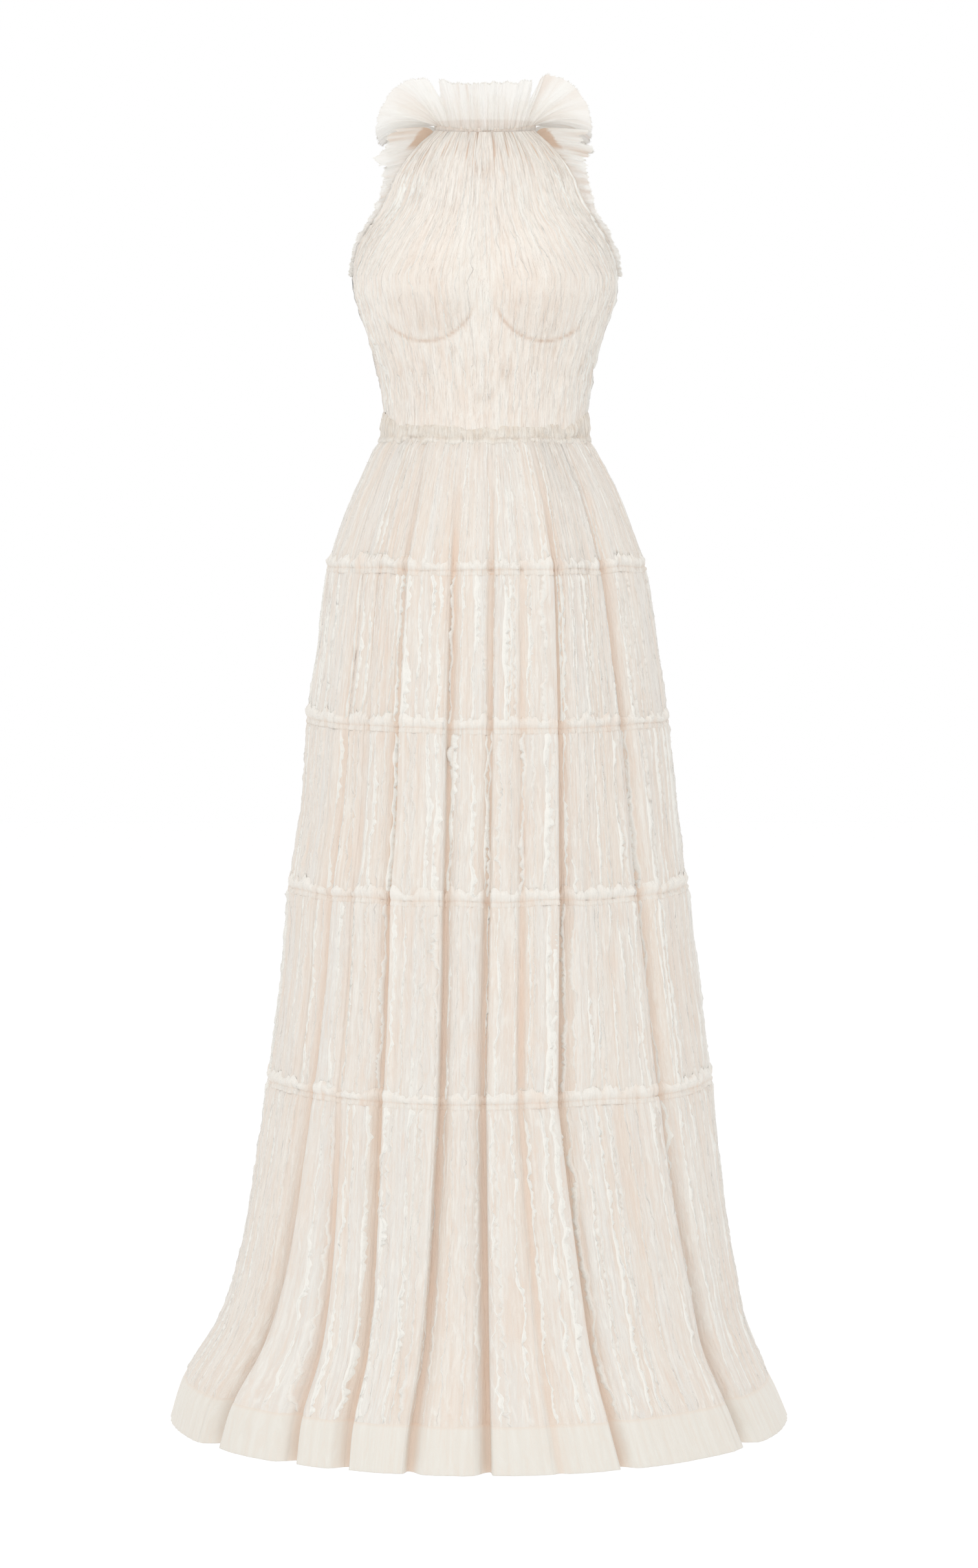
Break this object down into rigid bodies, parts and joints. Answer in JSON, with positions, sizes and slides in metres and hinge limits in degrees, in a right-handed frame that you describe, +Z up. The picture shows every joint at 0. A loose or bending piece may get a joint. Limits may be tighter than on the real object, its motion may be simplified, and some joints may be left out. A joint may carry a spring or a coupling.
{
  "type": "halter maxi dress",
  "caption": "Floor-length halter dress of crinkled gauze with a pleated neck frill, ruffled armholes, a fitted bodice with a waist seam, a gathered tiered skirt and a plain hem band.",
  "frame": {"origin": "middle of the neckband, where the wearer's neck holds the dress up", "axes": "+Z up, the front faces -Y, +X is the wearer's left side"},
  "size_m": [0.7279, 0.6367, 1.5802],
  "materials": {
    "gauze": "crinkled ivory gauze, matt",
    "hem_cloth": "plain ivory cloth, folded double, matt",
    "zip_tape": "ivory tape with fine closed teeth",
    "zip_metal": "ivory lacquer"
  },
  "bodies": {
    "dress": {"neckband": "gauze", "neck_frill": "gauze", "bodice_front": "gauze", "bodice_back_left": "gauze", "bodice_back_right": "gauze", "cup_wire_left": "gauze", "cup_wire_right": "gauze", "armhole_frill_left": "gauze", "armhole_frill_right": "gauze", "waist_band": "gauze", "waist_frill": "gauze", "tier_1_front": "gauze", "tier_1_back_left": "gauze", "tier_1_back_right": "gauze", "tier_2_front": "gauze", "tier_2_back": "gauze", "tier_3_front": "gauze", "tier_3_back": "gauze", "tier_4_front": "gauze", "tier_4_back": "gauze", "tier_5_front": "gauze", "tier_5_back": "gauze", "heading_1": "gauze", "heading_2": "gauze", "heading_3": "gauze", "heading_4": "gauze", "hem_band_front": "hem_cloth", "hem_band_back": "hem_cloth", "back_zip": "zip_tape", "zip_slider": "zip_metal"},
    "pull": {"zip_pull": "zip_metal"}
  },
  "joints": [
    {"name": "zip_pull_hinge", "type": "hinge", "parent": "dress", "child": "pull", "pos_m": [0, 0.06944, -0.02896], "axis": [1, 0, 0], "range_deg": [0, 130]}
  ]
}
